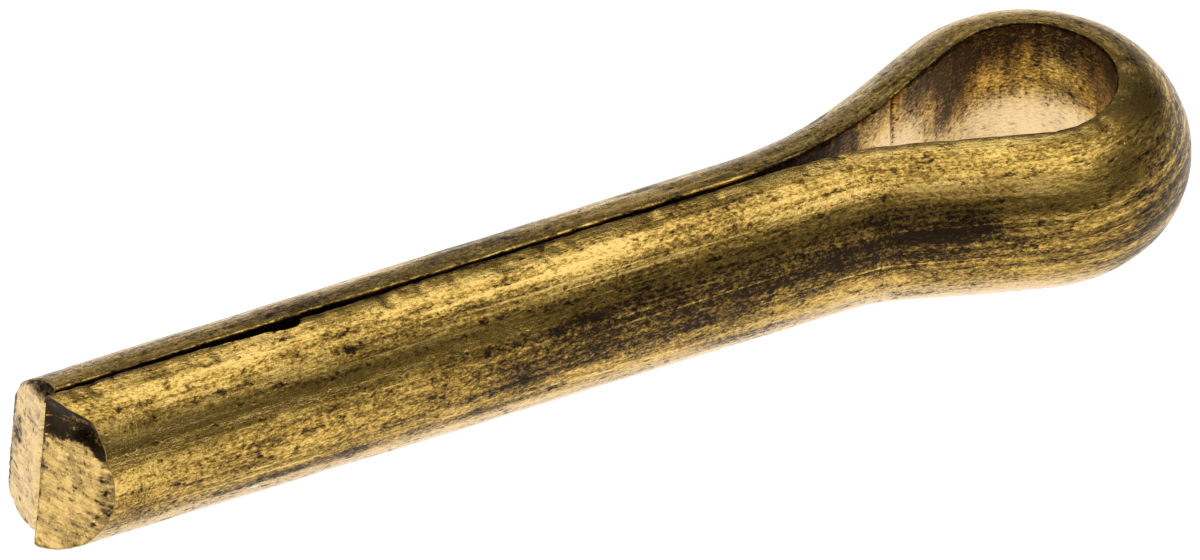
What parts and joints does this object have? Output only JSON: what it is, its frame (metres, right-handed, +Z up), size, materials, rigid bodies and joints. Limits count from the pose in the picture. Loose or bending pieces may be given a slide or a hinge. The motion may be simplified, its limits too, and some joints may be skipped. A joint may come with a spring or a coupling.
{
  "type": "split pin",
  "caption": "Split pin folded from half-round brass wire, with two straight legs lying together and an open teardrop eye.",
  "frame": {"origin": "on the shank's axis where the eye begins, which is where the pin's length is measured from", "axes": "+X along the shank towards the eye, +Z along the wire's width, so the pin lies on its flat eye with +Z up; the bevelled leg is at -Y"},
  "size_m": [0.0152, 0.004, 0.0022],
  "materials": {
    "brass": "drawn wire, tarnished and lightly pitted"
  },
  "bodies": {
    "root": {"split_pin": "brass"}
  },
  "joints": []
}
